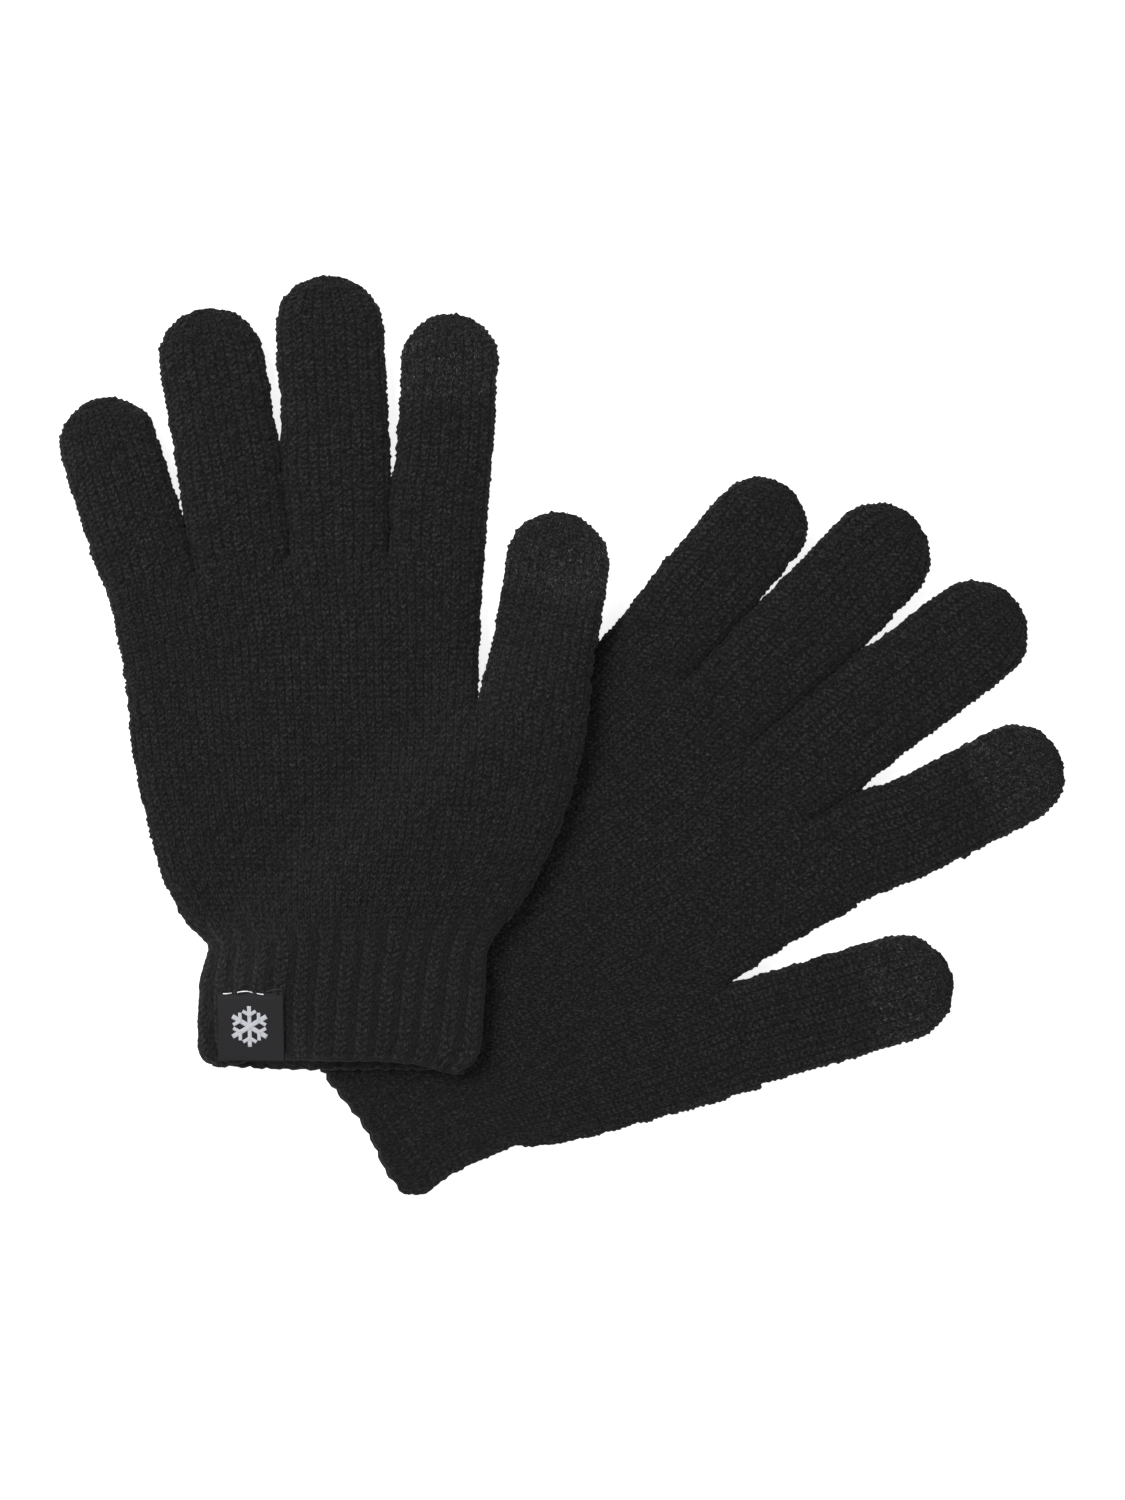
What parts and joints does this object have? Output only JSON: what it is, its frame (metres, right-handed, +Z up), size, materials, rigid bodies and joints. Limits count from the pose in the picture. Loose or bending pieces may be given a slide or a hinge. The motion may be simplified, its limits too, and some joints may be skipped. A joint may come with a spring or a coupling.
{
  "type": "pair of knitted touchscreen gloves",
  "caption": "Pair of dark knitted five-finger gloves lying crossed, with ribbed cuffs, touch-conductive thumb and index tips and a sewn woven label.",
  "frame": {"origin": "centre of the pair's outline, on the surface it lies on", "axes": "+Z up from the surface, +Y along the left glove from cuff to fingers, +X from the left glove's little finger towards its thumb"},
  "size_m": [0.297, 0.2722, 0.0177],
  "materials": {
    "knit": "soft charcoal stocking-stitch knit, ribbed at the cuffs",
    "touch_knit": "knit with grey conductive fibres",
    "edge_yarn": "overlocked yarn edge",
    "label_tape": "woven twill label tape",
    "label_thread": "white sewing thread"
  },
  "bodies": {
    "right_glove": {"right_hand": "knit", "right_cuff": "knit", "right_cuff_edge": "edge_yarn"},
    "left_glove": {"left_hand": "knit", "left_cuff": "knit", "left_cuff_edge": "edge_yarn", "left_label": "label_tape", "left_label_thread": "label_thread"},
    "right_index_body": {"right_index_finger": "knit", "right_index_touch_tip": "touch_knit"},
    "right_middle_body": {"right_middle_finger": "knit"},
    "right_ring_body": {"right_ring_finger": "knit"},
    "right_little_body": {"right_little_finger": "knit"},
    "right_thumb_body": {"right_thumb": "knit", "right_thumb_touch_tip": "touch_knit"},
    "left_index_body": {"left_index_finger": "knit", "left_index_touch_tip": "touch_knit"},
    "left_middle_body": {"left_middle_finger": "knit"},
    "left_ring_body": {"left_ring_finger": "knit"},
    "left_little_body": {"left_little_finger": "knit"},
    "left_thumb_body": {"left_thumb": "knit", "left_thumb_touch_tip": "touch_knit"}
  },
  "joints": [
    {"name": "left_glove_lift", "type": "slide", "parent": "right_glove", "child": "left_glove", "axis": [0, 0, 1], "range_m": [0, 0.12]},
    {"name": "right_index_fold", "type": "hinge", "parent": "right_glove", "child": "right_index_body", "pos_m": [0.07968, -0.03556, 0.0084], "axis": [0.4462, -0.8949, 0], "range_deg": [0, 80]},
    {"name": "right_middle_fold", "type": "hinge", "parent": "right_glove", "child": "right_middle_body", "pos_m": [0.06515, -0.0122, 0.0084], "axis": [0.6046, -0.7965, 0], "range_deg": [0, 80]},
    {"name": "right_ring_fold", "type": "hinge", "parent": "right_glove", "child": "right_ring_body", "pos_m": [0.04696, 0.00849, 0.0084], "axis": [0.7133, -0.7009, 0], "range_deg": [0, 80]},
    {"name": "right_little_fold", "type": "hinge", "parent": "right_glove", "child": "right_little_body", "pos_m": [0.02734, 0.02665, 0.0084], "axis": [0.7547, -0.6561, 0], "range_deg": [0, 80]},
    {"name": "right_thumb_fold", "type": "hinge", "parent": "right_glove", "child": "right_thumb_body", "pos_m": [0.05311, -0.08658, 0.0084], "axis": [0.3007, -0.9537, 0], "range_deg": [0, 80]},
    {"name": "left_index_fold", "type": "hinge", "parent": "left_glove", "child": "left_index_body", "pos_m": [-0.0371, 0.05389, 0.0084], "axis": [0.9976, -0.0698, 0], "range_deg": [0, 80]},
    {"name": "left_middle_fold", "type": "hinge", "parent": "left_glove", "child": "left_middle_body", "pos_m": [-0.06583, 0.05438, 0.0084], "axis": [0.9994, 0.0349, 0], "range_deg": [0, 80]},
    {"name": "left_ring_fold", "type": "hinge", "parent": "left_glove", "child": "left_ring_body", "pos_m": [-0.09439, 0.05152, 0.0084], "axis": [0.9863, 0.165, 0], "range_deg": [0, 80]},
    {"name": "left_little_fold", "type": "hinge", "parent": "left_glove", "child": "left_little_body", "pos_m": [-0.1214, 0.04496, 0.0084], "axis": [0.9511, 0.309, 0], "range_deg": [0, 80]},
    {"name": "left_thumb_fold", "type": "hinge", "parent": "left_glove", "child": "left_thumb_body", "pos_m": [-0.00887, 0.00698, 0.0171], "axis": [0.9816, -0.1908, 0], "range_deg": [0, 80]}
  ]
}
